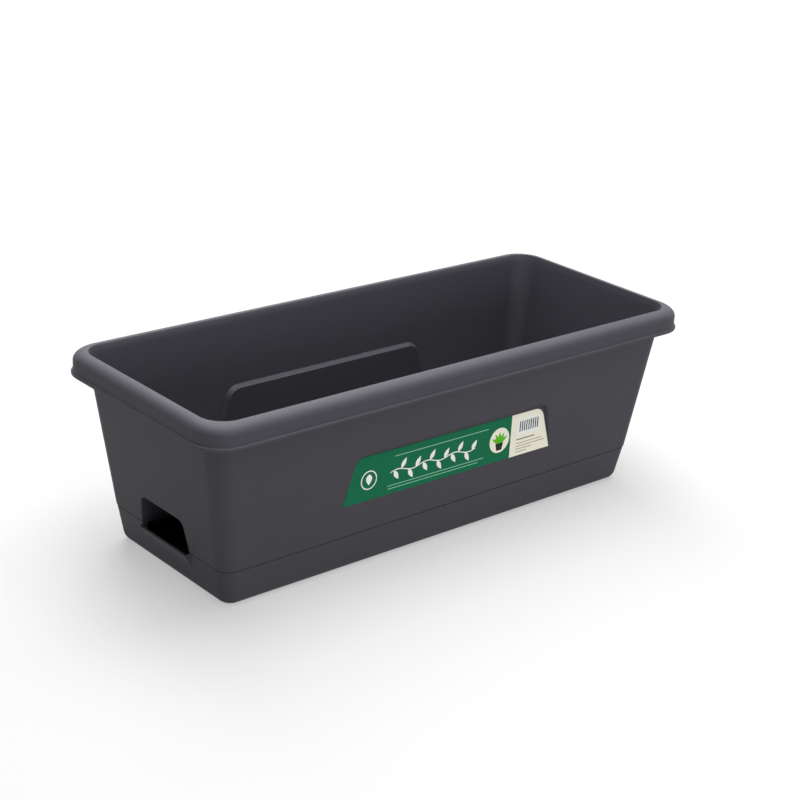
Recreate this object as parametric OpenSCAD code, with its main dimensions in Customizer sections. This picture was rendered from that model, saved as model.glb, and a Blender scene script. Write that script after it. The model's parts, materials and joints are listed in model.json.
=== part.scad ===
// Rectangular window-box planter: a trough with a rolled rim that stands in a
// flush water tray, with a sunk panel on each long side and a filler mouth at
// one end. Millimetres, +Z up, origin on the ground under the middle.

/* [Overall] */
// Length over the rim
rim_l = 510; // [420:1:620]
// Depth over the rim
rim_w = 210; // [170:1:260]
// Height from the ground to the top of the rim
total_h = 165; // [130:1:210]
// Length of the tray at the ground, as if its edge were sharp
foot_l = 435; // [350:1:530]
// Depth of the tray at the ground, as if its edge were sharp
foot_w = 150; // [120:1:185]
// Length at the seam between tray and pot
seam_l = 447; // [360:1:540]
// Depth at the seam between tray and pot
seam_w = 160.4; // [130:0.2:195]
// Height of the seam above the ground
seam_h = 33; // [27:0.5:42]
// Thickness of the moulded walls
wall = 2; // [1.4:0.1:2.6]

/* [Corners] */
// Corner radius of the rim, seen from above
rim_corner_r = 27; // [20:0.5:34]
// Corner radius of the pot's wall under the rim
wall_corner_r = 19.5; // [15:0.5:25]
// Corner radius at the seam
seam_corner_r = 13; // [10:0.5:17]
// Corner radius of the tray at the ground
foot_corner_r = 11.5; // [9:0.5:15]

/* [Rim] */
// Height of the rim's hanging edge
rim_h = 19; // [14:0.5:24]
// Reach of the rim past the pot's wall
rim_reach = 13.2; // [10.5:0.1:17]
// Rounding between the rim's top and its hanging edge
rim_round_r = 6; // [4:0.5:8]
// Width of the flat on the rim's top
rim_flat = 1; // [0.7:0.1:1.3]
// Height over which the rim's top turns down into the pot
rim_drop = 6; // [5:0.5:7.5]
// Distance that the bead on the hanging edge stands out
bead_out = 1.3; // [0.8:0.1:1.8]
// Height of that bead
bead_h = 3.4; // [2.4:0.1:4.4]

/* [Sunk panels] */
// Height at which the panel's upright face leaves the sloping wall
panel_foot_z = 60; // [48:1:72]
// Height of the top edge of that face
panel_top_z = 102; // [83:0.5:122]
// Length of the panel along its foot
panel_foot_l = 229; // [190:1:285]
// Length of the panel along its top, as if its corners were sharp
panel_top_l = 203; // [170:1:250]
// Radius of the panel's two top corners
panel_corner_r = 11; // [8:0.5:14]
// Draft of the ledge round the panel, in degrees
panel_draft = 20; // [14:1:26]

/* [Label] */
// Bare margin between the label and the foot of the panel
label_foot_gap = 0.5; // [0.3:0.1:1]
// Bare margin between the label and the top of the panel
label_top_gap = 3.2; // [2:0.1:4.4]
// Bare margin between the label and the sides of the panel
label_margin = 0.8; // [0.4:0.1:1.4]
// Thickness of the label
label_t = 0.3; // [0.2:0.05:0.4]

/* [Filler mouth] */
// Width of the mouth at the seam
mouth_foot_w = 66; // [52:1:80]
// Width of the mouth at its top, as if its corners were sharp
mouth_top_w = 57; // [46:1:68]
// Height of the mouth above the seam
mouth_h = 25.5; // [20:0.5:31]
// Radius of the mouth's two top corners
mouth_corner_r = 7; // [5:0.5:9]
// Depth of the alcove behind the mouth
alcove_depth = 24; // [18:1:30]
// Draft of the alcove's sides and roof, in degrees
alcove_draft = 7; // [3:1:12]
// Distance that the pouring lip stands out from the tray
lip_out = 4; // [3:0.1:5]
// Drop from the seam to the edge of the lip
lip_drop = 2.6; // [2:0.1:3.2]
// Height above the ground at which the lip fades into the tray
lip_foot_z = 12; // [10:0.5:15]

/* [Pot floor] */
// Rise from the seam to the underside of the floor
floor_rise = 3; // [2:0.5:5]
// Thickness of the floor
floor_t = 2.4; // [1.8:0.1:3]
// Rounding between the floor and the walls
floor_round_r = 6; // [4:0.5:8]
// Depth of the spigot that locates the pot inside the tray
spigot_h = 8; // [6:0.5:10]
// Clearance between spigot and tray
spigot_gap = 0.4; // [0.3:0.05:0.6]
// Radius of the drain holes
drain_r = 3; // [2:0.25:4]
// Drain holes in each of the two rows
drain_count = 6; // [4:1:8]
// Distance between the two rows of drain holes
drain_row_gap = 84; // [66:1:100]
// Thickness of the ribs under the floor
rib_t = 1.6; // [1.2:0.1:2]
// Depth of the ribs under the floor
rib_h = 5; // [3.5:0.5:6.5]

/* [Soil wells] */
// Distance between the two wells, centre to centre
well_gap = 216; // [170:1:260]
// Outer radius of a well at the floor
well_top_r = 27; // [22:0.5:33]
// Outer radius of a well at its foot
well_foot_r = 21; // [17:0.5:26]
// Clearance between a well and the tray's floor
well_lift = 0.3; // [0.2:0.05:0.6]
// Width of the slots that let the water in
slot_w = 3; // [2:0.25:4]
// Height of those slots
slot_h = 11; // [8:0.5:14]
// Slots round each well
slot_count = 8; // [6:1:12]

/* [Tray] */
// Rounding of the tray's lower edge
tray_round_r = 8; // [6:0.5:9]
// Rise of the tray's underside inside its standing edge
tray_lift = 1.2; // [0.8:0.1:1.6]
// Width of the flat band that the tray stands on
stand_w = 10; // [7:0.5:14]
// Inset of the tray's edge from the pot's wall above it
seam_step = 0.3; // [0.1:0.05:0.5]
// Chamfer of the edges that meet at the seam
seam_chamfer = 0.5; // [0.3:0.05:0.7]

/* [Hidden] */
$fn = 48;

anthracite = "#47464c";
label_green = "#00704a";

// Steps in a plan corner, in a rounding of the section, and in a panel's corner
corner_steps = 9;
round_steps = 5;
arch_steps = 6;
quarter = 90;

// Slant of the lip's end cheeks towards its edge
lip_taper = 1 / 8;

// One overrun serves every cut
overrun = 1;
// The least radius that a corner drawn in by an inset keeps
least_r = wall / 4;

// Heights that the pieces share
rim_foot_z = total_h - rim_h;
roof_z = total_h - wall;
floor_low_z = seam_h + floor_rise;
floor_top_z = floor_low_z + floor_t;
tray_floor_z = tray_lift + wall;
spigot_foot_z = seam_h - spigot_h;
lip_edge_z = seam_h - lip_drop;
mouth_top_z = seam_h + mouth_h;

function blend(low, high, share) = low + (high - low) * share;

// Closed ring of a rectangle with round corners, at height z
function ring(half_l, half_w, r, z) = [
    for (corner = [0:3])
    for (step = [0:corner_steps])
    let (
        angle = quarter * (corner + step / corner_steps),
        side_x = corner == 0 || corner == 3 ? 1 : -1,
        side_y = corner < 2 ? 1 : -1
    )
    [side_x * (half_l - r) + r * cos(angle), side_y * (half_w - r) + r * sin(angle), z]
];

// Share of the way from the seam to the foot of the rim
function wall_share(z) = (z - seam_h) / (rim_foot_z - seam_h);
function wall_half_l(z) = blend(seam_l / 2, rim_l / 2 - rim_reach, wall_share(z));
function wall_half_w(z) = blend(seam_w / 2, rim_w / 2 - rim_reach, wall_share(z));

// Ring on the pot's sloping wall, drawn in from its outer face by inset
function wall_ring(z, inset) = ring(
    wall_half_l(z) - inset,
    wall_half_w(z) - inset,
    max(least_r, blend(seam_corner_r, wall_corner_r, wall_share(z)) - inset),
    z
);

// Ring on the rim, drawn in from its widest line by inset
function rim_ring(z, inset) = ring(
    rim_l / 2 - inset,
    rim_w / 2 - inset,
    blend(rim_corner_r, wall_corner_r, inset / rim_reach),
    z
);

// Ring on the turn from the pot's wall, drawn in by inset, to the flat on top of
// the rim, at the given share of the way out
function turn_ring(z, inset, share) =
    let (low = wall_ring(z, inset), high = rim_ring(z, bead_out + rim_round_r + rim_flat))
    [for (i = [0:len(low) - 1]) blend(low[i], high[i], share)];

function tray_half_l(z) = blend(foot_l / 2, seam_l / 2 - seam_step, z / seam_h);
function tray_half_w(z) = blend(foot_w / 2, seam_w / 2 - seam_step, z / seam_h);

// Ring on the tray's sloping wall, drawn in from its outer face by inset
function tray_ring(z, inset) = ring(
    tray_half_l(z) - inset,
    tray_half_w(z) - inset,
    max(least_r, blend(foot_corner_r, seam_corner_r, z / seam_h) - inset),
    z
);

// Outline with slanting sides and two round top corners, as [across, up] points.
// The sides stand top_half from the middle at the top and spread by spread for
// each unit of height below it.
function arch(top_half, spread, foot_z, top_z, r) =
    let (
        lean = atan(spread),
        foot_half = top_half + spread * (top_z - foot_z),
        centre = [top_half + r * spread - r / cos(lean), top_z - r],
        bend = [
            for (step = [0:arch_steps])
            let (angle = blend(lean, quarter, step / arch_steps))
            centre + r * [cos(angle), sin(angle)]
        ]
    )
    concat(
        [[-foot_half, foot_z], [foot_half, foot_z]],
        bend,
        [for (step = [arch_steps:-1:0]) [-bend[step].x, bend[step].y]]
    );

// Closed solid through a stack of rings with equal counts of points, which run
// counter-clockwise when the stack is seen from its last ring
module loft(rings) {
    count = len(rings[0]);
    last = (len(rings) - 1) * count;
    polyhedron(
        points = [for (one = rings) for (point = one) point],
        faces = concat(
            [[for (i = [0:count - 1]) i]],
            [
                for (level = [0:len(rings) - 2])
                for (i = [0:count - 1])
                let (next = (i + 1) % count, low = level * count, high = low + count)
                [high + i, high + next, low + next, low + i]
            ],
            [[for (i = [count - 1:-1:0]) last + i]]
        ),
        convexity = 10
    );
}

// The pot filled solid: spigot, shoulder, wall and the hooked rim
module pot_outside() {
    turn_h = rim_drop - wall;
    hollow_r = rim_round_r - wall;
    skirt = bead_out + wall;
    loft(concat(
        [
            tray_ring(spigot_foot_z, wall + spigot_gap),
            tray_ring(seam_h, wall + spigot_gap),
            wall_ring(seam_h, seam_chamfer),
            wall_ring(seam_h + seam_chamfer, 0)
        ],
        [
            for (step = [0:round_steps])
            let (angle = quarter * step / round_steps)
            turn_ring(roof_z - turn_h * (1 - sin(angle)), 0, 1 - cos(angle))
        ],
        [
            for (step = [round_steps:-1:0])
            let (angle = quarter * step / round_steps)
            rim_ring(roof_z - hollow_r * (1 - sin(angle)), skirt + hollow_r * (1 - cos(angle)))
        ],
        [
            rim_ring(rim_foot_z, skirt),
            rim_ring(rim_foot_z, bead_out / 2),
            rim_ring(rim_foot_z + bead_out / 2, 0),
            rim_ring(rim_foot_z + bead_h / 2, bead_out / 4),
            rim_ring(rim_foot_z + bead_h, bead_out)
        ],
        [
            for (step = [0:round_steps])
            let (angle = quarter * step / round_steps)
            rim_ring(
                total_h - rim_round_r * (1 - sin(angle)),
                bead_out + rim_round_r * (1 - cos(angle))
            )
        ]
    ));
}

// The room for soil, with a round edge at the floor and another at the rim
module pot_cavity() {
    loft(concat(
        [
            for (step = [0:round_steps])
            let (angle = quarter * step / round_steps)
            wall_ring(
                floor_top_z + floor_round_r * (1 - cos(angle)),
                wall + floor_round_r * (1 - sin(angle))
            )
        ],
        [
            for (step = [0:round_steps])
            let (angle = quarter * step / round_steps)
            turn_ring(total_h - rim_drop * (1 - sin(angle)), wall, 1 - cos(angle))
        ],
        [turn_ring(total_h + overrun, wall, 1)]
    ));
}

// The room under the floor, inside the spigot
module underfloor() {
    inset = wall + spigot_gap + wall;
    loft([
        tray_ring(spigot_foot_z - overrun, inset),
        tray_ring(seam_h, inset),
        wall_ring(floor_low_z, inset)
    ]);
}

// The upright face of a sunk panel
panel_face = wall_half_w(panel_foot_z);
panel_spread = (panel_foot_l - panel_top_l) / 2 / (panel_top_z - panel_foot_z);

// Points of a panel's outline that has grown by grow, at the distance face from
// the middle of the pot
function panel_ring(face, grow) = [
    for (point = arch(
        panel_top_l / 2 + grow,
        panel_spread,
        seam_h,
        panel_top_z + grow,
        panel_corner_r + grow
    ))
    [point.x, -face, point.y]
];

// The space that a panel takes out of the front wall, with a skin of thickness
// skin round it
module panel_space(skin) {
    draft = tan(panel_draft);
    inner_face = panel_face - skin;
    outer_face = rim_w / 2;
    loft([
        panel_ring(inner_face, skin / cos(panel_draft) - skin * draft),
        panel_ring(outer_face, skin / cos(panel_draft) + (outer_face - panel_face) * draft)
    ]);
}

module both_sides() {
    children();
    mirror([0, 1, 0])
        children();
}

mouth_spread = (mouth_foot_w - mouth_top_w) / 2 / mouth_h;
mouth_face = wall_half_l(seam_h);

// Points of the mouth's outline that has grown by grow, at the distance face
// from the middle of the pot
function mouth_ring(face, grow) = [
    for (point = arch(
        mouth_top_w / 2 + grow,
        mouth_spread,
        spigot_foot_z - overrun,
        mouth_top_z + grow,
        mouth_corner_r + grow
    ))
    [-face, -point.x, point.y]
];

// The alcove behind the filler mouth, with a skin of thickness skin round it
module alcove_space(skin) {
    draft = tan(alcove_draft);
    inner_face = mouth_face - alcove_depth - skin;
    outer_face = wall_half_l(mouth_top_z) + overrun;
    loft([
        mouth_ring(inner_face, skin - (alcove_depth + skin) * draft),
        mouth_ring(outer_face, skin + (outer_face - mouth_face) * draft)
    ]);
}

module both_wells() {
    for (side = [-1, 1])
        translate([side * well_gap / 2, 0, 0])
            children();
}

well_foot_z = tray_floor_z + well_lift;
well_h = floor_top_z - well_foot_z;

// A well filled solid, from its foot to the top of the floor
module well_outside() {
    translate([0, 0, well_foot_z])
        cylinder(h = well_h - floor_t / 2, r1 = well_foot_r, r2 = well_top_r);
}

// The soil room in a well, and the slots and the hole that let water reach it
module well_inside() {
    translate([0, 0, well_foot_z + wall])
        cylinder(h = well_h - wall + overrun, r1 = well_foot_r - wall, r2 = well_top_r - wall);
    translate([0, 0, well_foot_z - overrun])
        cylinder(h = wall + overrun + overrun, r = drain_r);
    for (index = [0:slot_count - 1])
        rotate([0, 0, 360 * index / slot_count])
            translate([well_foot_r / 2, -slot_w / 2, well_foot_z + wall])
                cube([well_top_r - well_foot_r / 2, slot_w, slot_h]);
}

drain_row_l = well_gap + well_top_r + well_top_r;

// Two ribs along the floor's underside, and four across between the drain holes
module floor_ribs() {
    rib_l = wall_half_l(seam_h) - wall - wall / 2;
    rib_w = wall_half_w(seam_h) - wall - wall / 2;
    rib_z = floor_low_z - rib_h;
    deep = rib_h + floor_t / 2;
    across_gap = drain_row_l + drain_r + drain_r + rib_h;
    for (side = [-1, 1])
        translate([-rib_l, side * (well_top_r + rib_h) - rib_t / 2, rib_z])
            cube([rib_l + rib_l, rib_t, deep]);
    for (share = [-1, -1 / 3, 1 / 3, 1])
        translate([share * across_gap / 2 - rib_t / 2, -rib_w, rib_z])
            cube([rib_t, rib_w + rib_w, deep]);
}

// Two rows of drain holes through the floor
module drain_holes() {
    for (side = [-1, 1])
        for (index = [0:drain_count - 1])
            translate([
                drain_row_l * (index / (drain_count - 1) - 1 / 2),
                side * drain_row_gap / 2,
                floor_low_z - overrun
            ])
                cylinder(h = floor_t + overrun + overrun, r = drain_r);
}

module pot() {
    color(anthracite)
        difference() {
            union() {
                difference() {
                    pot_outside();
                    underfloor();
                }
                both_wells() well_outside();
                floor_ribs();
            }
            difference() {
                pot_cavity();
                both_sides() panel_space(wall);
                alcove_space(wall);
            }
            both_sides() panel_space(0);
            alcove_space(0);
            both_wells() well_inside();
            drain_holes();
        }
}

// Plan points of the pouring lip at height z, where its face stands out past the
// tray's wall by out. Its end cheeks are half as thick as skin, the rest of it.
function lip_ring(z, out, skin) = [
    for (point = arch(
        mouth_foot_w / 2 - lip_out * lip_taper - skin / 2,
        lip_taper,
        tray_half_l(z) - wall - overrun,
        tray_half_l(z) + out - skin,
        lip_out / 4
    ))
    [-point.y, point.x, z]
];

// The space of the lip, which flares out of the tray's wall in a hollow curve and
// goes on up through top_rings
module lip_space(skin, top_rings) {
    sunk = wall / 4;
    flare_z = lip_edge_z - wall;
    loft(concat(
        [
            for (step = [0:round_steps])
            let (share = step / round_steps)
            lip_ring(
                blend(lip_foot_z, flare_z, share),
                blend(-sunk, lip_out, share * share),
                skin
            )
        ],
        top_rings
    ));
}

module tray() {
    color(anthracite)
        difference() {
            union() {
                loft(concat(
                    [
                        for (step = [0:round_steps])
                        let (angle = quarter * step / round_steps)
                        tray_ring(
                            tray_round_r * (1 - cos(angle)),
                            tray_round_r * (1 - sin(angle))
                        )
                    ],
                    [
                        tray_ring(seam_h - seam_chamfer, 0),
                        tray_ring(seam_h, seam_chamfer)
                    ]
                ));
                lip_space(0, [
                    lip_ring(lip_edge_z - seam_chamfer, lip_out, 0),
                    lip_ring(lip_edge_z, lip_out - seam_chamfer, 0)
                ]);
            }
            loft(concat(
                [
                    for (step = [0:round_steps])
                    let (angle = quarter * step / round_steps, inner_r = tray_round_r - wall)
                    tray_ring(
                        tray_floor_z + inner_r * (1 - cos(angle)),
                        wall + inner_r * (1 - sin(angle))
                    )
                ],
                [tray_ring(seam_h + overrun, wall)]
            ));
            lip_space(wall, [lip_ring(seam_h + overrun, lip_out, wall)]);
            translate([-tray_half_l(seam_h) - overrun, -mouth_foot_w / 2, lip_edge_z])
                cube([alcove_depth, mouth_foot_w, lip_drop + overrun]);
            loft([
                tray_ring(-overrun, tray_round_r + stand_w),
                tray_ring(tray_lift, tray_round_r + stand_w)
            ]);
        }
}

// The printed label fills the face of the front panel up to its margins
module label() {
    color(label_green)
        translate([0, -panel_face, 0])
            rotate([quarter, 0, 0])
                linear_extrude(label_t)
                    polygon(arch(
                        panel_top_l / 2 + panel_spread * label_top_gap - label_margin,
                        panel_spread,
                        panel_foot_z + label_foot_gap,
                        panel_top_z - label_top_gap,
                        panel_corner_r - label_margin
                    ));
}

pot();
tray();
label();
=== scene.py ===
import json
import math

import bmesh
import bpy
from mathutils import Matrix, Vector
from mathutils.geometry import tessellate_polygon

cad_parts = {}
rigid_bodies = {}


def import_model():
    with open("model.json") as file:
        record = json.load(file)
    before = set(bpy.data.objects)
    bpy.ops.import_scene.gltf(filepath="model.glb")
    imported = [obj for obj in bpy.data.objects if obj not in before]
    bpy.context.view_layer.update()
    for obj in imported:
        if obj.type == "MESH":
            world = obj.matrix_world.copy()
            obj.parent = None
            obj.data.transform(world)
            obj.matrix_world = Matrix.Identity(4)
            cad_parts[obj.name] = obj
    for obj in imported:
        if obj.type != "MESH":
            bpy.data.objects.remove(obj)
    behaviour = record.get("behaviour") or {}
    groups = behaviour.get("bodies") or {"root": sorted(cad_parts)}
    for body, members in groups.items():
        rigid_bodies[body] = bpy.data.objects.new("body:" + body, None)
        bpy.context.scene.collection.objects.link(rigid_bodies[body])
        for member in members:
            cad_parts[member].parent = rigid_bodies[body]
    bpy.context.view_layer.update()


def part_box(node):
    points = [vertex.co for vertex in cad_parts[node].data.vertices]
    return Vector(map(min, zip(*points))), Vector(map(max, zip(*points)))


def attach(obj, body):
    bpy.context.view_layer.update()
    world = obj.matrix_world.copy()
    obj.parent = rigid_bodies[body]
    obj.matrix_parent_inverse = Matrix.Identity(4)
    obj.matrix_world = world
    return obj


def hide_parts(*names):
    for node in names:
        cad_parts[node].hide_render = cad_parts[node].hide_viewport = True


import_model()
mm = 0.001

# The water tray is a shallow injection moulding in anthracite polypropylene, flush
# with the pot at the seam, where its edge steps down. Its end wall flares out into a
# lip under the filler mouth, and it stands on a flat band round its raised underside.
wall = 2 * mm
seam_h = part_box("tray")[1].z
seam_step = 0.3 * mm
seam_half_l = 223.5 * mm
seam_half_w = 80.2 * mm
foot_half_l = 217.5 * mm
foot_half_w = 75 * mm
foot_corner_r = 11.5 * mm
seam_corner_r = 13 * mm
tray_round_r = 8 * mm
tray_edge_r = 0.3 * mm
slit_h = 0.5 * mm
slit_in = 1.2 * mm
tray_lift = 1.2 * mm
stand_w = 10 * mm
lip_half = 33 * mm
lip_side = 1.4 * mm
lip_curl = 3.5
lip_overlap = 0.2 * mm
cheek_t = 1 * mm
lip_out = 4 * mm
lip_edge_z = seam_h - 2.6 * mm
lip_edge_r = 0.9 * mm
lip_foot_z = 12 * mm
tray_floor_z = tray_lift + wall
corner_steps = 14
round_steps = 8
least_r = 0.5 * mm


def blend(low, high, share):
    """The value a share of the way from low to high."""
    return low + (high - low) * share


def ease(share):
    """A share from 0 to 1 that starts and ends gently."""
    share = min(1.0, max(0.0, share))
    return share * share * (3 - 2 * share)


def ring(half_l, half_w, r, z, stops=()):
    """Points round a rectangle with round corners. Stops are places across its left end, from +Y on."""
    points = []
    for corner, (side_x, side_y) in enumerate(((1, 1), (-1, 1), (-1, -1), (1, -1))):
        for step in range(corner_steps + 1):
            angle = math.radians(90) * (corner + step / corner_steps)
            points.append(Vector((
                side_x * (half_l - r) + r * math.cos(angle),
                side_y * (half_w - r) + r * math.sin(angle),
                z,
            )))
        if corner == 1:
            points += [Vector((-half_l, across, z)) for across in stops]
    return points


def tray_ring(z, inset, stops=()):
    """A ring on the tray's sloping wall, drawn in from its outer face by inset."""
    share = z / seam_h
    return ring(
        blend(foot_half_l, seam_half_l - seam_step, share) - inset,
        blend(foot_half_w, seam_half_w - seam_step, share) - inset,
        max(least_r, blend(foot_corner_r, seam_corner_r, share) - inset),
        z,
        stops,
    )


def quarter_round(steps):
    """Shares (along, across) of a quarter circle's radius, from its foot to its top."""
    angles = [math.radians(90) * step / steps for step in range(steps + 1)]
    return [(1 - math.cos(angle), 1 - math.sin(angle)) for angle in angles]


def loft(shell, rings, left_out=()):
    """Skins a stack of rings and closes both ends. Quads named in left_out as (level, place) stay open."""
    rows = [[shell.verts.new(point) for point in one] for one in rings]
    count = len(rows[0])
    for level in range(len(rows) - 1):
        for place in range(count):
            if (level, place) not in left_out:
                after = (place + 1) % count
                low, high = rows[level], rows[level + 1]
                shell.faces.new((low[place], low[after], high[after], high[place]))
    shell.faces.new(list(reversed(rows[0])))
    shell.faces.new(rows[-1])
    return rows


def hex_colour(code):
    """Linear colour of an sRGB hex code such as #3f3e44."""
    parts = [int(code[place:place + 2], 16) / 255 for place in (1, 3, 5)]
    linear = [part / 12.92 if part <= 0.04045 else ((part + 0.055) / 1.055) ** 2.4 for part in parts]
    return (*linear, 1.0)


def add_node(tree, kind, settings=None, inputs=None):
    """Adds a node, with its settings, and its inputs set to values or linked from sockets."""
    made = tree.nodes.new(kind)
    for name, value in (settings or {}).items():
        setattr(made, name, value)
    for name, value in (inputs or {}).items():
        if isinstance(value, bpy.types.NodeSocket):
            tree.links.new(value, made.inputs[name])
        else:
            made.inputs[name].default_value = value
    return made


def new_material(name):
    """An empty node material, and its tree."""
    made = bpy.data.materials.new(name)
    made.use_nodes = True
    made.node_tree.nodes.clear()
    return made, made.node_tree


def moulded_polypropylene():
    """Polypropylene from a spark-eroded mould: a dark violet grey that goes pale at glancing angles,
    with a fine matte grain, faint flow marks where the melt cooled and light scuffs from stacking."""
    made, tree = new_material("moulded_polypropylene")
    anthracite = hex_colour("#312f37")
    anthracite_pale = hex_colour("#37353d")
    scuff_grey = hex_colour("#5c5b64")
    grain_size = 0.7 * mm      # real grain is 0.1 mm, drawn coarser so that it shows
    flow_size = 70 * mm
    scuff_size = 26 * mm
    place = add_node(tree, "ShaderNodeTexCoord").outputs["Object"]
    flow = add_node(tree, "ShaderNodeTexNoise", None, {
        "Vector": place, "Scale": 1 / flow_size, "Detail": 3.0, "Roughness": 0.55, "Distortion": 0.6,
    })
    tone = add_node(tree, "ShaderNodeMix", {"data_type": "RGBA"}, {
        "Factor": flow.outputs["Fac"], "A": anthracite, "B": anthracite_pale,
    })
    stretched = add_node(tree, "ShaderNodeMapping", None, {
        "Vector": place, "Rotation": (0.3, 0.9, 0.5), "Scale": (1.0, 9.0, 1.0),
    })
    scratches = add_node(tree, "ShaderNodeTexNoise", None, {
        "Vector": stretched.outputs["Vector"], "Scale": 1 / scuff_size, "Detail": 5.0, "Roughness": 0.7,
    })
    scuffed = add_node(tree, "ShaderNodeMapRange", None, {
        "Value": scratches.outputs["Fac"], "From Min": 0.66, "From Max": 0.8, "To Min": 0.0, "To Max": 0.22,
    })
    colour = add_node(tree, "ShaderNodeMix", {"data_type": "RGBA"}, {
        "Factor": scuffed.outputs["Result"], "A": tone.outputs["Result"], "B": scuff_grey,
    })
    grain = add_node(tree, "ShaderNodeTexNoise", None, {
        "Vector": place, "Scale": 1 / grain_size, "Detail": 2.0, "Roughness": 0.6,
    })
    sink = add_node(tree, "ShaderNodeTexNoise", None, {
        "Vector": place, "Scale": 1 / (flow_size / 2), "Detail": 1.0,
    })
    matte = add_node(tree, "ShaderNodeMapRange", None, {
        "Value": grain.outputs["Fac"], "From Min": 0.3, "From Max": 0.7, "To Min": 0.6, "To Max": 0.72,
    })
    waves = add_node(tree, "ShaderNodeBump", None, {
        "Height": sink.outputs["Fac"], "Strength": 0.25, "Distance": 0.6 * mm,
    })
    bump = add_node(tree, "ShaderNodeBump", None, {
        "Height": grain.outputs["Fac"], "Strength": 0.35, "Distance": 0.05 * mm,
        "Normal": waves.outputs["Normal"],
    })
    plastic = add_node(tree, "ShaderNodeBsdfPrincipled", None, {
        "Base Color": colour.outputs["Result"], "Roughness": matte.outputs["Result"],
        "IOR": 1.49, "Specular IOR Level": 0.45, "Normal": bump.outputs["Normal"],
    })
    add_node(tree, "ShaderNodeOutputMaterial", None, {"Surface": plastic.outputs["BSDF"]})
    return made


def piece_from(shell, name, *materials):
    """Makes a bmesh into an object with the given materials."""
    mesh = bpy.data.meshes.new(name)
    shell.to_mesh(mesh)
    shell.free()
    for material in materials:
        mesh.materials.append(material)
    made = bpy.data.objects.new(name, mesh)
    bpy.context.scene.collection.objects.link(made)
    return made


def smooth_faces(piece, hard_angle=32):
    """Smooth shading with hard edges, in which the big flat faces stay flat."""
    piece.data.polygons.foreach_set("use_smooth", [True] * len(piece.data.polygons))
    piece.data.set_sharp_from_angle(angle=math.radians(hard_angle))
    weigh = piece.modifiers.new("flat_faces_first", "WEIGHTED_NORMAL")
    weigh.keep_sharp = True
    weigh.weight = 100


stop_gap = 0.1 * mm         # between the extra points with which the lip's cheeks are drawn
stop_count = 24
side_places = [lip_half + lip_overlap - stop_gap * step for step in range(stop_count)]
lip_stops = side_places + [-place for place in reversed(side_places)]


def lip_ring(z, inset, lip_z, lip_inset, cheek=0.0):
    """A ring on the tray that moves to a second height and inset along the lip, inside its end cheeks."""
    points = []
    for plain, moved in zip(tray_ring(z, inset, lip_stops), tray_ring(lip_z, lip_inset, lip_stops)):
        if plain.x < 0:
            reach = lip_half - abs(plain.y)
            out = ease((reach - cheek) / lip_side)
            down = ease((reach + lip_overlap) / lip_side)
            plain = Vector((blend(plain.x, moved.x, out), plain.y, blend(plain.z, moved.z, down)))
        points.append(plain)
    return points


wall_steps = 12
wall_shares = [step / wall_steps for step in range(wall_steps)]
edge_z = seam_h - slit_h
lip_neck = 0.8 * mm
flare_z = lip_edge_z - lip_edge_r - lip_neck
inner_round_r = tray_round_r - wall

tray_rings = [
    tray_ring(tray_lift, tray_round_r + stand_w + tray_edge_r, lip_stops),
    tray_ring(tray_edge_r, tray_round_r + stand_w + tray_edge_r, lip_stops),
    tray_ring(0, tray_round_r + stand_w, lip_stops),
]
tray_rings += [
    tray_ring(tray_round_r * up, tray_round_r * back, lip_stops)
    for up, back in quarter_round(round_steps)
]
tray_rings += [
    lip_ring(
        blend(lip_foot_z, edge_z - tray_edge_r, share), 0,
        blend(lip_foot_z, flare_z, share), -lip_out * share ** lip_curl,
    )
    for share in wall_shares
]
tray_rings += [
    lip_ring(
        edge_z - tray_edge_r * back, tray_edge_r * up,
        lip_edge_z - lip_edge_r * back, lip_edge_r * up - lip_out,
    )
    for up, back in quarter_round(4)
]
tray_rings += [
    lip_ring(edge_z, slit_in, lip_edge_z, wall / 2 - lip_out, cheek_t / 2),
    lip_ring(seam_h, slit_in, lip_edge_z, wall * 0.6 - lip_out, cheek_t / 2),
]
tray_rings += [
    lip_ring(
        seam_h - tray_edge_r * up, wall - tray_edge_r * back,
        lip_edge_z - tray_edge_r * up, wall - tray_edge_r * back - lip_out, cheek_t,
    )
    for up, back in quarter_round(3)
]
tray_rings += [
    lip_ring(
        blend(lip_foot_z, seam_h - tray_edge_r, share), wall,
        blend(lip_foot_z, flare_z, share), wall - lip_out * share ** lip_curl, cheek_t,
    )
    for share in reversed(wall_shares)
]
tray_rings += [
    tray_ring(tray_floor_z + inner_round_r * up, wall + inner_round_r * back, lip_stops)
    for up, back in reversed(quarter_round(round_steps)[:-1])
]
shell = bmesh.new()
loft(shell, tray_rings)
plastic = moulded_polypropylene()
tray = piece_from(shell, "water_tray", plastic)
smooth_faces(tray)
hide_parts("tray")
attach(tray, "tray")

# The pot is one injection moulding in the same polypropylene: a hooked, rolled rim
# with a bead, tapered walls, a sunk panel in each long wall, a filler mouth with an
# alcove behind it, and a floor with drain holes, ribs and two soil wells.
rim_half_l, rim_half_w, total_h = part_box("pot")[1]
rim_h = 19 * mm
rim_reach = 13.2 * mm
rim_corner_r = 27 * mm
wall_corner_r = 19.5 * mm
crown_in = 10 * mm
crown_drop = 7.6 * mm
rim_drop = 6.5 * mm
rim_flat = 0.3 * mm
bead_out = 1.3 * mm
bead_h = 3.2 * mm
bead_low = 2.2 * mm
bead_steps = 6
seam_edge_r = 0.5 * mm
spigot_h = 8 * mm
spigot_gap = 0.4 * mm
floor_low_z = seam_h + 3 * mm
floor_top_z = floor_low_z + 2.4 * mm
floor_mid_z = (floor_low_z + floor_top_z) / 2
floor_round_r = 6 * mm
rim_foot_z = total_h - rim_h
roof_z = total_h - wall
spigot_foot_z = seam_h - spigot_h


def wall_half_l(z):
    """Half the length over the pot's walls at a height."""
    return blend(seam_half_l, rim_half_l - rim_reach, (z - seam_h) / (rim_foot_z - seam_h))


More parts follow.
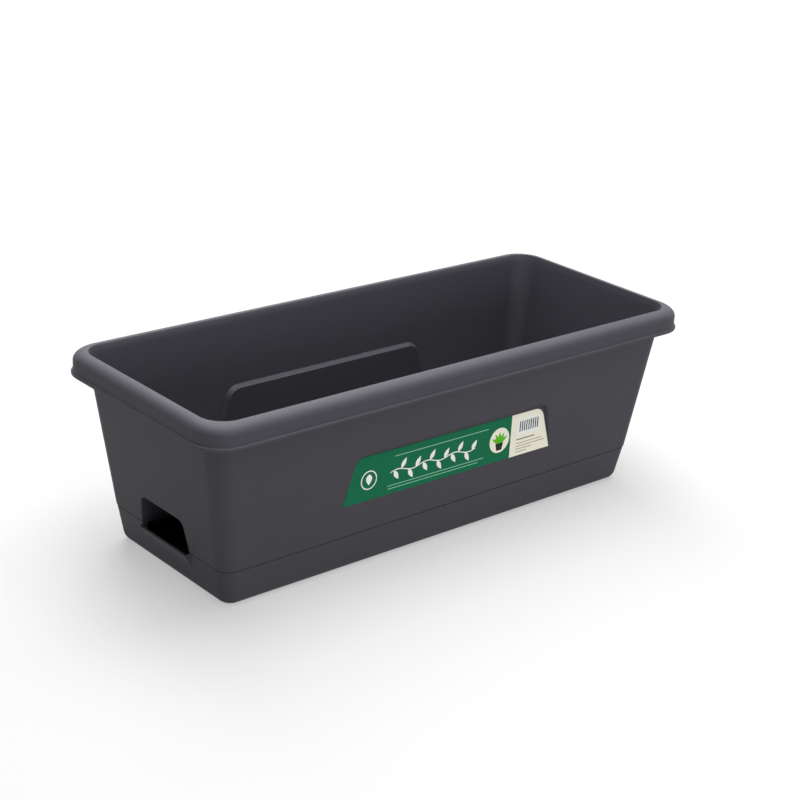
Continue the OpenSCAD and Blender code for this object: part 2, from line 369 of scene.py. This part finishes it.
def wall_half_w(z):
    """Half the depth over the pot's walls at a height."""
    return blend(seam_half_w, rim_half_w - rim_reach, (z - seam_h) / (rim_foot_z - seam_h))


def wall_ring(z, inset):
    """A ring on the pot's sloping wall, drawn in from its outer face by inset."""
    r = blend(seam_corner_r, wall_corner_r, (z - seam_h) / (rim_foot_z - seam_h)) - inset
    return ring(wall_half_l(z) - inset, wall_half_w(z) - inset, max(least_r, r), z)


def rim_ring(z, inset):
    """A ring on the rim, drawn in from its widest line by inset."""
    r = blend(rim_corner_r, wall_corner_r, inset / rim_reach)
    return ring(rim_half_l - inset, rim_half_w - inset, r, z)


def turn_ring(z, inset, share):
    """A ring a share of the way from the wall, drawn in by inset, to the flat on the rim's top."""
    return [
        blend(low, high, share)
        for low, high in zip(wall_ring(z, inset), rim_ring(z, bead_out + crown_in + rim_flat))
    ]


def arch(top_half, spread, foot_z, top_z, r, bend_steps=10, side_steps=1):
    """Outline (across, up) with slanting sides and two round top corners, from the foot's left end."""
    lean = math.atan(spread)
    foot_half = top_half + spread * (top_z - foot_z)
    centre_x = top_half + r * spread - r / math.cos(lean)
    bend = []
    for step in range(bend_steps + 1):
        angle = blend(lean, math.radians(90), step / bend_steps)
        bend.append((centre_x + r * math.cos(angle), top_z - r + r * math.sin(angle)))
    side = [
        (blend(foot_half, bend[0][0], step / side_steps), blend(foot_z, bend[0][1], step / side_steps))
        for step in range(side_steps)
    ]
    right = side + bend
    return [(-foot_half, foot_z)] + right + [(-x, z) for x, z in reversed(right[1:])]


panel_foot_z = 60 * mm
panel_top_z = 102 * mm
panel_top_half = 101.5 * mm
panel_spread = 13 * mm / (panel_top_z - panel_foot_z)
panel_corner_r = 11 * mm
panel_draft = math.tan(math.radians(20))
panel_soft = 1.1 * mm
panel_face = wall_half_w(panel_foot_z)
panel_margin = 6 * mm
ledge_from = -1.2 * mm
ledge_step = 0.22 * mm
ledge_steps = 21


def soft_min(one, other, soft):
    """The smaller of two lengths, rounded where they meet."""
    near = max(soft - abs(one - other), 0) / soft if soft > 0 else 0
    return min(one, other) - near * near * soft / 4


def panel_depth(z, out, skin):
    """Distance from the pot's middle to the wall's surface, at a height z and a distance out past
    the panel's upright face."""
    slope, face = wall_half_w(z) - skin, panel_face - skin
    depth = slope - face
    if depth <= 0:
        return slope
    soft = min(panel_soft, depth)
    ledge = -soft_min(0, -out / panel_draft, soft)
    return soft_min(slope, face + ledge, soft)


def sink_panel(shell, corners, side, skin):
    """Fills the gap that corners bound in a long wall with a sunk panel: loops of points that step
    down the ledge round its upright face."""
    grow = skin * (math.sqrt(1 + panel_draft * panel_draft) - panel_draft)
    foot_share = 0.2 if skin else 1     # inside, the floor's rounding leaves little room below the foot
    outs = [ledge_from + ledge_step * step for step in range(ledge_steps)] + [panel_margin]
    loops = []
    for out in outs:
        outline = arch(
            panel_top_half + grow + out,
            panel_spread,
            panel_foot_z - out * foot_share,
            panel_top_z + grow + out,
            panel_corner_r + grow + out,
            bend_steps=12,
            side_steps=24,
        )
        loops.append([
            shell.verts.new((x, side * panel_depth(z, out, skin), z)) for x, z in outline
        ])
    facing = side if skin == 0 else -side
    for inner, outer in zip(loops, loops[1:]):
        for place in range(len(inner)):
            after = (place + 1) % len(inner)
            quad = (inner[place], inner[after], outer[after], outer[place])
            shell.faces.new(quad if facing > 0 else quad[::-1])
    shell.faces.new(loops[0][::-1] if facing > 0 else loops[0])
    bounds = list(corners) + loops[-1]
    outlines = [[vert.co for vert in corners], [vert.co for vert in loops[-1]]]
    for triangle in tessellate_polygon(outlines):
        face = shell.faces.new([bounds[index] for index in triangle])
        face.normal_update()
        if face.normal.y * facing < 0:
            face.normal_flip()


skirt = bead_out + wall
under_inset = wall + spigot_gap + wall
pot_rings = [
    wall_ring(floor_low_z, under_inset),
    tray_ring(seam_h, under_inset),
    tray_ring(spigot_foot_z, under_inset),
    tray_ring(spigot_foot_z, wall + spigot_gap),
    tray_ring(seam_h, wall + spigot_gap),
]
pot_rings += [
    wall_ring(seam_h + seam_edge_r * up, seam_edge_r * back) for up, back in quarter_round(3)
]
outer_wall_level = len(pot_rings) - 1
pot_rings += [
    turn_ring(roof_z - (rim_drop - wall) * back, 0, up) for up, back in quarter_round(6)
]
pot_rings += [
    rim_ring(roof_z - (crown_drop - wall) * up, skirt + (crown_in - wall) * back)
    for up, back in quarter_round(8)
]
pot_rings += [
    rim_ring(rim_foot_z, skirt),
    rim_ring(rim_foot_z, bead_low / 2),
]
pot_rings += [
    rim_ring(rim_foot_z + bead_low / 2 * up, bead_low / 2 * back)
    for up, back in quarter_round(4)[1:]
]
bead_shares = [step / bead_steps for step in range(bead_steps + 1)]
pot_rings += [
    rim_ring(blend(rim_foot_z + bead_low, rim_foot_z + bead_h, share), bead_out * ease(share))
    for share in bead_shares
]
pot_rings += [
    rim_ring(total_h - crown_drop * back, bead_out + crown_in * up)
    for up, back in quarter_round(14)
]
pot_rings += [
    turn_ring(total_h - rim_drop * up, wall, back) for up, back in quarter_round(12)
]
inner_wall_level = len(pot_rings) - 1
pot_rings += [
    wall_ring(floor_top_z + floor_round_r * up, wall + floor_round_r * back)
    for up, back in reversed(quarter_round(round_steps))
]

back_place = corner_steps
front_place = 3 * corner_steps + 2
shell = bmesh.new()
rows = loft(shell, pot_rings, [
    (level, place)
    for level in (outer_wall_level, inner_wall_level)
    for place in (back_place, front_place)
])
for level, skin in ((outer_wall_level, 0), (inner_wall_level, wall)):
    for place, side in ((back_place, 1), (front_place, -1)):
        corners = [
            rows[level][place], rows[level][place + 1],
            rows[level + 1][place + 1], rows[level + 1][place],
        ]
        sink_panel(shell, corners, side, skin)
pot = piece_from(shell, "pot_body", plastic)

mouth_top_half = 28.5 * mm
mouth_h = 25.5 * mm
mouth_spread = 4.5 * mm / mouth_h
mouth_top_z = seam_h + mouth_h
mouth_corner_r = 7 * mm
mouth_edge_r = 0.9 * mm
alcove_depth = 24 * mm
alcove_draft = math.tan(math.radians(7))
alcove_back = seam_half_l - alcove_depth


def mouth_ring(grow, foot_z, place):
    """The mouth's outline grown by grow, each point at the distance place(z) from the pot's middle."""
    outline = arch(mouth_top_half + grow, mouth_spread, foot_z, mouth_top_z + grow, mouth_corner_r + grow)
    return [Vector((-place(z), -across, z)) for across, z in outline]


def put_in(group, shell, name):
    """Makes a closed bmesh into a solid of a group that is joined to the pot or cut from it."""
    bmesh.ops.recalc_face_normals(shell, faces=shell.faces)
    made = piece_from(shell, name)
    group.objects.link(made)
    bpy.context.scene.collection.objects.unlink(made)


joined = bpy.data.collections.new("joined_to_pot")
cut = bpy.data.collections.new("cut_from_pot")

shell = bmesh.new()
loft(shell, [
    mouth_ring(wall - (alcove_depth + wall) * alcove_draft, floor_mid_z, lambda z: alcove_back - wall),
    mouth_ring(wall, floor_mid_z, lambda z: wall_half_l(z) - wall / 2),
])
put_in(joined, shell, "alcove_skin")

shell = bmesh.new()
void_foot_z = spigot_foot_z - wall
loft(shell, [
    mouth_ring(-alcove_depth * alcove_draft, void_foot_z, lambda z: alcove_back),
    *[
        mouth_ring(
            mouth_edge_r * up - mouth_edge_r * alcove_draft,
            void_foot_z,
            lambda z, back=back: wall_half_l(z) - mouth_edge_r * back,
        )
        for up, back in quarter_round(5)
    ],
    mouth_ring(mouth_edge_r * 2, void_foot_z, lambda z: wall_half_l(z) + mouth_edge_r),
])
put_in(cut, shell, "alcove_space")

well_x = 108 * mm
well_top_r = 27 * mm
well_foot_r = 21 * mm
well_gap = 0.3 * mm
well_foot_z = tray_floor_z + well_gap
well_edge = ((0, -0.8 * mm), (0.3 * mm, -0.3 * mm), (1.1 * mm, 0.3 * mm))     # (out, up) at its top
well_steps = 48
hole_steps = 24
slot_w = 3 * mm
slot_h = 11 * mm
slot_count = 8
drain_r = 3 * mm
drain_row_y = 42 * mm
drain_count = 6
rib_t = 1.6 * mm
rib_h = 5 * mm
drain_row_l = 2 * well_x + 2 * well_top_r


def circle(x, y, r, z, steps):
    """Points round a level circle."""
    turn = math.radians(360) / steps
    return [Vector((x + r * math.cos(turn * k), y + r * math.sin(turn * k), z)) for k in range(steps)]


def block(shell, low, high):
    """A box between two corners."""
    flat = [(low.x, low.y), (high.x, low.y), (high.x, high.y), (low.x, high.y)]
    loft(shell, [[Vector((x, y, z)) for x, y in flat] for z in (low.z, high.z)])


for side in (-1, 1):
    shell = bmesh.new()
    loft(shell, [
        circle(side * well_x, 0, well_foot_r, well_foot_z, well_steps),
        circle(side * well_x, 0, well_top_r, floor_mid_z, well_steps),
    ])
    put_in(joined, shell, "well_outside")
    shell = bmesh.new()
    loft(shell, [
        circle(side * well_x, 0, well_foot_r - wall, well_foot_z + wall, well_steps),
        *[
            circle(side * well_x, 0, well_top_r - wall + out, floor_top_z + up, well_steps)
            for out, up in well_edge
        ],
    ])
    put_in(cut, shell, "well_inside")
    for index in range(slot_count):
        turn = math.radians(360) * index / slot_count
        along = Vector((math.cos(turn), math.sin(turn), 0))
        across = Vector((-along.y, along.x, 0)) * slot_w / 2
        middle = Vector((side * well_x, 0, 0))
        shell = bmesh.new()
        loft(shell, [
            [
                middle + along * well_foot_r / 2 - across + Vector((0, 0, z)),
                middle + along * (well_top_r + wall) - across + Vector((0, 0, z)),
                middle + along * (well_top_r + wall) + across + Vector((0, 0, z)),
                middle + along * well_foot_r / 2 + across + Vector((0, 0, z)),
            ]
            for z in (well_foot_z + wall, well_foot_z + wall + slot_h)
        ])
        put_in(cut, shell, "well_slot")
    shell = bmesh.new()
    loft(shell, [
        circle(side * well_x, 0, drain_r, z, hole_steps)
        for z in (well_foot_z - wall, well_foot_z + wall * 2)
    ])
    put_in(cut, shell, "well_hole")
    for index in range(drain_count):
        x = drain_row_l * (index / (drain_count - 1) - 0.5)
        shell = bmesh.new()
        loft(shell, [
            circle(x, side * drain_row_y, drain_r, z, hole_steps)
            for z in (floor_low_z - wall, floor_top_z + wall)
        ])
        put_in(cut, shell, "drain_hole")

rib_l = wall_half_l(seam_h) - wall * 1.5
rib_w = wall_half_w(seam_h) - wall * 1.5
rib_foot_z = floor_low_z - rib_h
rib_top_z = floor_mid_z
for side in (-1, 1):
    shell = bmesh.new()
    y = side * (well_top_r + rib_h)
    block(shell, Vector((-rib_l, y - rib_t / 2, rib_foot_z)), Vector((rib_l, y + rib_t / 2, rib_top_z)))
    put_in(joined, shell, "long_rib")
for share in (-1, -1 / 3, 1 / 3, 1):
    shell = bmesh.new()
    x = share * (drain_row_l + 2 * drain_r + rib_h) / 2
    block(shell, Vector((x - rib_t / 2, -rib_w, rib_foot_z)), Vector((x + rib_t / 2, rib_w, rib_top_z)))
    put_in(joined, shell, "cross_rib")


def combine(piece, group, operation):
    """Joins a group's solids to a piece or cuts them from it, and drops the group."""
    change = piece.modifiers.new(operation.lower(), "BOOLEAN")
    change.operation = operation
    change.operand_type = "COLLECTION"
    change.collection = group
    change.solver = "EXACT"
    bpy.context.view_layer.update()
    done = bpy.data.meshes.new_from_object(
        piece.evaluated_get(bpy.context.evaluated_depsgraph_get())
    )
    piece.modifiers.clear()
    piece.data = done
    for used in list(group.objects):
        bpy.data.objects.remove(used)
    bpy.data.collections.remove(group)


combine(pot, joined, "UNION")
combine(pot, cut, "DIFFERENCE")
smooth_faces(pot)
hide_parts("pot")
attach(pot, "pot")

# The label is a printed polypropylene film, stuck on the upright face of the front
# panel. Green ink covers it up to a cream end panel, and its motifs are plain ones.
label_t = 0.3 * mm
label_margin = 0.8 * mm
label_foot_z = panel_foot_z + 0.5 * mm
label_top_z = panel_top_z - 3.2 * mm
label_mid_z = (label_foot_z + label_top_z) / 2
label_split_x = 66.5 * mm
label_skew = math.radians(0.45)     # it was stuck on by hand, its left end a little high
ink_t = 0.04 * mm


def printed_film(name, ink, roughness):
    """Film with screen-printed ink: even colour with a faint mottle, a soft sheen and a slight ripple
    from the adhesive behind it."""
    made, tree = new_material(name)
    colour = hex_colour(ink)
    paler = tuple(min(1.0, part * 1.08 + 0.002) for part in colour[:3]) + (1.0,)
    mottle_size = 1.2 * mm
    ripple_size = 18 * mm
    place = add_node(tree, "ShaderNodeTexCoord").outputs["Object"]
    mottle = add_node(tree, "ShaderNodeTexNoise", None, {
        "Vector": place, "Scale": 1 / mottle_size, "Detail": 3.0, "Roughness": 0.6,
    })
    tone = add_node(tree, "ShaderNodeMix", {"data_type": "RGBA"}, {
        "Factor": mottle.outputs["Fac"], "A": colour, "B": paler,
    })
    ripple = add_node(tree, "ShaderNodeTexNoise", None, {
        "Vector": place, "Scale": 1 / ripple_size, "Detail": 1.0,
    })
    bump = add_node(tree, "ShaderNodeBump", None, {
        "Height": ripple.outputs["Fac"], "Strength": 0.2, "Distance": 0.4 * mm,
    })
    film = add_node(tree, "ShaderNodeBsdfPrincipled", None, {
        "Base Color": tone.outputs["Result"], "Roughness": roughness, "IOR": 1.5,
        "Specular IOR Level": 0.12, "Normal": bump.outputs["Normal"],
    })
    add_node(tree, "ShaderNodeOutputMaterial", None, {"Surface": film.outputs["BSDF"]})
    return made


inks = {
    "green": printed_film("green_printed_film", "#006a45", 0.42),
    "cream": printed_film("cream_printed_film", "#fbf4e2", 0.45),
    "white": printed_film("white_ink", "#fbfbf7", 0.45),
    "leaf": printed_film("leaf_green_ink", "#5fbf1e", 0.45),
    "dark": printed_film("dark_ink", "#232427", 0.48),
    "pale_green": printed_film("pale_green_ink", "#9ad3b8", 0.45),
    "grey": printed_film("grey_ink", "#85827a", 0.48),
}
ink_index = {name: index for index, name in enumerate(inks)}

label_shell = bmesh.new()
outline = arch(
    panel_top_half + panel_spread * (panel_top_z - label_top_z) - label_margin,
    panel_spread,
    label_foot_z,
    label_top_z,
    panel_corner_r - label_margin,
    bend_steps=12,
)


def on_label(x, z, proud):
    """A point at (x, z) on the straight label, at its place on the panel."""
    up = z - label_mid_z
    return Vector((
        x * math.cos(label_skew) + up * math.sin(label_skew),
        -(panel_face + proud),
        label_mid_z + up * math.cos(label_skew) - x * math.sin(label_skew),
    ))


def printed_shape(shell, points, ink, foot, top):
    """A flat shape of ink, from foot to top above the panel's face, its points (x, z) anticlockwise."""
    low = [shell.verts.new(on_label(x, z, foot)) for x, z in points]
    high = [shell.verts.new(on_label(x, z, top)) for x, z in points]
    faces = [shell.faces.new(high), shell.faces.new(low[::-1])]
    for place in range(len(points)):
        after = (place + 1) % len(points)
        faces.append(shell.faces.new((low[place], low[after], high[after], high[place])))
    for face in faces:
        face.material_index = ink_index[ink]


left_part, right_part = [], []
for x, z in outline:
    (right_part if x > label_split_x else left_part).append((x, z))
left_outline = [left_part[0], (label_split_x, label_foot_z), (label_split_x, label_top_z)] + left_part[1:]
right_outline = [(label_split_x, label_foot_z)] + right_part + [(label_split_x, label_top_z)]
printed_shape(label_shell, left_outline, "green", 0, label_t)
printed_shape(label_shell, right_outline, "cream", 0, label_t)


def print_ink(points, ink, layer=1):
    """Prints a flat shape on the film, or on the ink already there."""
    top = label_t + ink_t * layer
    printed_shape(label_shell, points, ink, top - ink_t, top)


def rectangle(left, low, right, high):
    """Points (x, z) of an upright rectangle."""
    return [(left, low), (right, low), (right, high), (left, high)]


def rule(left, right, z, thickness):
    """A level line with its middle at z."""
    return rectangle(left, z - thickness / 2, right, z + thickness / 2)


def disc(x, z, r, steps=40):
    """A round patch."""
    turn = math.radians(360) / steps
    return [(x + r * math.cos(turn * k), z + r * math.sin(turn * k)) for k in range(steps)]


def leaf(x, z, length, width, tilt, steps=10):
    """A pointed leaf from its stalk end, tilted from level."""
    points = []
    for side in (-1, 1):
        for step in range(steps):
            share = step / steps if side < 0 else 1 - step / steps
            across = side * width / 2 * math.sin(math.pi * share ** 0.8)
            along = length * share
            points.append((
                x + along * math.cos(tilt) - across * math.sin(tilt),
                z + along * math.sin(tilt) + across * math.cos(tilt),
            ))
    return points


# A white trailing vine along the middle
vine_left, vine_right, vine_z = -66 * mm, 26 * mm, 79 * mm
vine_wave = 1.6 * mm
vine_waves = 3
stem_half = 0.45 * mm
stem_steps = 72
leaf_count = 12
leaf_l, leaf_w = 9.5 * mm, 4.2 * mm
leaf_tilt = math.radians(58)


def vine_height(x):
    """Height of the stem's middle at x."""
    share = (x - vine_left) / (vine_right - vine_left)
    return vine_z + vine_wave * math.sin(share * vine_waves * math.radians(360))


stem = [blend(vine_left, vine_right, step / stem_steps) for step in range(stem_steps + 1)]
print_ink(
    [(x, vine_height(x) - stem_half) for x in stem]
    + [(x, vine_height(x) + stem_half) for x in reversed(stem)],
    "white",
)
for index in range(leaf_count):
    x = blend(vine_left, vine_right, (index + 0.5) / leaf_count)
    side = 1 if index % 2 else -1
    vine_leaf = leaf(x, vine_height(x) + side * stem_half, leaf_l, leaf_w, side * leaf_tilt)
    print_ink(vine_leaf, "white", layer=2)

# Fine rules above and below the vine
rule_t = 0.55 * mm
for z, left, right in (
    (92.5 * mm, -62 * mm, 40 * mm),
    (67.6 * mm, -68 * mm, 36 * mm),
    (65 * mm, -68 * mm, 30 * mm),
):
    print_ink(rule(left, right, z, rule_t), "pale_green")

# A plain ring round a drop at the left
ring_x, ring_z, ring_r, ring_t = -88 * mm, 78 * mm, 8.2 * mm, 1 * mm
drop_top_z, drop_l, drop_w = ring_z + 5 * mm, 9.4 * mm, 6.2 * mm
print_ink(disc(ring_x, ring_z, ring_r), "white")
print_ink(disc(ring_x, ring_z, ring_r - ring_t), "green", layer=2)
print_ink(leaf(ring_x, drop_top_z, drop_l, drop_w, math.radians(-90)), "white", layer=3)

# A potted plant in a cream disc at the right
disc_x, disc_z, disc_r = 53.5 * mm, 79.5 * mm, 11.2 * mm
tub_foot_z, tub_foot_half = disc_z - 9 * mm, 3 * mm
tub_top_z, tub_top_half = disc_z - 2.4 * mm, 4.4 * mm
blade_l, blade_w = 10 * mm, 3.4 * mm
print_ink(disc(disc_x, disc_z, disc_r, 56), "cream")
print_ink([
    (disc_x - tub_foot_half, tub_foot_z), (disc_x + tub_foot_half, tub_foot_z),
    (disc_x + tub_top_half, tub_top_z), (disc_x - tub_top_half, tub_top_z),
], "dark", layer=2)
for index, tilt in enumerate((30, 60, 90, 120, 150)):
    # neighbours lie on two layers, so that their faces don't share a plane
    blade = leaf(disc_x, tub_top_z, blade_l, blade_w, math.radians(tilt))
    print_ink(blade, "leaf", layer=3 - index % 2)

# A white box with plain even stripes, and grey rules below it
box_left, box_right, box_low, box_high = 74 * mm, 100.5 * mm, 79 * mm, 93 * mm
stripe_count = 9
stripe_half = 0.6 * mm
stripe_side, stripe_below, stripe_above = 3 * mm, 3 * mm, 1.6 * mm
print_ink(rectangle(box_left, box_low, box_right, box_high), "white")
for index in range(stripe_count):
    x = blend(box_left + stripe_side, box_right - stripe_side, index / (stripe_count - 1))
    stripe = rectangle(x - stripe_half, box_low + stripe_below, x + stripe_half, box_high - stripe_above)
    print_ink(stripe, "dark", layer=2)
line_left = 73.5 * mm
for z, line_right, line_t in (
    (75.2 * mm, 95 * mm, 1.1 * mm),
    (71.6 * mm, 104 * mm, 0.5 * mm),
    (69 * mm, 107 * mm, 0.5 * mm),
    (66.4 * mm, 92 * mm, 0.5 * mm),
    (63.8 * mm, 86 * mm, 0.5 * mm),
):
    print_ink(rule(line_left, line_right, z, line_t), "grey")

label = piece_from(label_shell, "printed_label", *inks.values())
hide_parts("label")
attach(label, "pot")

# The studio: a plain pale floor and a white backdrop, with four soft boxes above and
# one low in front. To the camera the floor is white but for the planter's soft shadow.
white = hex_colour("#ffffff")
floor_half = 30.0
floor_mesh = bpy.data.meshes.new("studio_floor")
floor_corners = [(-1, -1), (1, -1), (1, 1), (-1, 1)]
floor_mesh.from_pydata([(floor_half * x, floor_half * y, 0) for x, y in floor_corners], [], [(0, 1, 2, 3)])
floor = bpy.data.objects.new("studio_floor", floor_mesh)
bpy.context.scene.collection.objects.link(floor)


def seen_rays(tree):
    """1 for what the camera sees, mirrored and refracted too, and 0 for the light that bounces about."""
    rays = add_node(tree, "ShaderNodeLightPath")
    mirrored = add_node(tree, "ShaderNodeMath", {"operation": "MAXIMUM"}, {
        0: rays.outputs["Is Glossy Ray"], 1: rays.outputs["Is Transmission Ray"],
    })
    seen = add_node(tree, "ShaderNodeMath", {"operation": "MAXIMUM"}, {
        0: rays.outputs["Is Camera Ray"], 1: mirrored.outputs["Value"],
    })
    return seen.outputs["Value"]


def white_paper():
    """Matte white paper that takes the shadow, and glows up to white away from the lamps."""
    made, tree = new_material("white_paper")
    away = add_node(tree, "ShaderNodeVectorMath", {"operation": "LENGTH"}, {
        "Vector": add_node(tree, "ShaderNodeTexCoord").outputs["Object"],
    })
    beyond_lamps = add_node(tree, "ShaderNodeMapRange", {"interpolation_type": "SMOOTHSTEP"}, {
        "Value": away.outputs["Value"], "From Min": 0.3, "From Max": 2.4, "To Min": 0.45, "To Max": 1.0,
    })
    whiter = add_node(tree, "ShaderNodeMapRange", None, {
        "Value": seen_rays(tree), "To Min": 0.2, "To Max": 1.0,
    })
    strength = add_node(tree, "ShaderNodeMath", {"operation": "MULTIPLY"}, {
        0: beyond_lamps.outputs["Result"], 1: whiter.outputs["Result"],
    })
    glow = add_node(tree, "ShaderNodeEmission", None, {
        "Color": white, "Strength": strength.outputs["Value"],
    })
    matte = add_node(tree, "ShaderNodeBsdfDiffuse", None, {"Color": hex_colour("#989898")})
    both = add_node(tree, "ShaderNodeAddShader", None, {
        0: glow.outputs["Emission"], 1: matte.outputs["BSDF"],
    })
    add_node(tree, "ShaderNodeOutputMaterial", None, {"Surface": both.outputs["Shader"]})
    return made


floor_mesh.materials.append(white_paper())

world = bpy.data.worlds.new("studio")
bpy.context.scene.world = world
world.use_nodes = True
tree = world.node_tree
tree.nodes.clear()
strength = add_node(tree, "ShaderNodeMix", {"data_type": "FLOAT"}, {
    "Factor": seen_rays(tree), "A": 0.05, "B": 1.0,
})
backdrop = add_node(tree, "ShaderNodeBackground", None, {
    "Color": white, "Strength": strength.outputs["Result"],
})
add_node(tree, "ShaderNodeOutputWorld", None, {"Surface": backdrop.outputs["Background"]})


def soft_lamp(name, place, aim, size, power):
    """A square soft box that faces the planter."""
    data = bpy.data.lights.new(name, "AREA")
    data.shape = "SQUARE"
    data.size = size
    data.energy = power
    lamp = bpy.data.objects.new(name, data)
    lamp.location = place
    lamp.rotation_euler = (Vector(aim) - Vector(place)).to_track_quat("-Z", "Y").to_euler()
    bpy.context.scene.collection.objects.link(lamp)


lamp_aim = (0, 0, 0.1)
soft_lamp("box_overhead", (0, 0, 1.6), lamp_aim, 1.1, 24)
soft_lamp("box_over_right", (1, 0, 1.5), lamp_aim, 1.0, 10)
soft_lamp("box_over_back", (0.4, 1, 1.5), lamp_aim, 1.0, 26)
soft_lamp("box_over_front", (-0.4, -0.9, 1.5), lamp_aim, 1.0, 9)
soft_lamp("box_low_front", (-0.25, -2.2, 0.4), lamp_aim, 0.7, 15)

# The camera stands where the photograph was taken from, turned and tilted a little.
view_azimuth = math.radians(-41.305)
view_elevation = math.radians(22.524)
view_roll = math.radians(3.138)
view_distance = 1508 * mm
focal_px, middle_x_px, middle_y_px, frame_px = 1776.68, 386.56, 417.865, 800
aim = Vector((0, 0, total_h / 2))
back = Vector((
    math.sin(view_azimuth) * math.cos(view_elevation),
    -math.cos(view_azimuth) * math.cos(view_elevation),
    math.sin(view_elevation),
))
camera_data = bpy.data.cameras.new("camera")
camera_data.sensor_width = 36
camera_data.lens = focal_px / frame_px * camera_data.sensor_width
camera_data.shift_x = (frame_px / 2 - middle_x_px) / frame_px
camera_data.shift_y = (middle_y_px - frame_px / 2) / frame_px
camera = bpy.data.objects.new("camera", camera_data)
camera.location = aim + back * view_distance
right = Vector((0, 0, 1)).cross(back).normalized()
above = back.cross(right)
turned = right * math.cos(view_roll) + above * math.sin(view_roll)
raised = above * math.cos(view_roll) - right * math.sin(view_roll)
camera.rotation_euler = Matrix((turned, raised, back)).transposed().to_euler()
bpy.context.scene.collection.objects.link(camera)
bpy.context.scene.camera = camera
bpy.context.scene.view_settings.view_transform = "Standard"
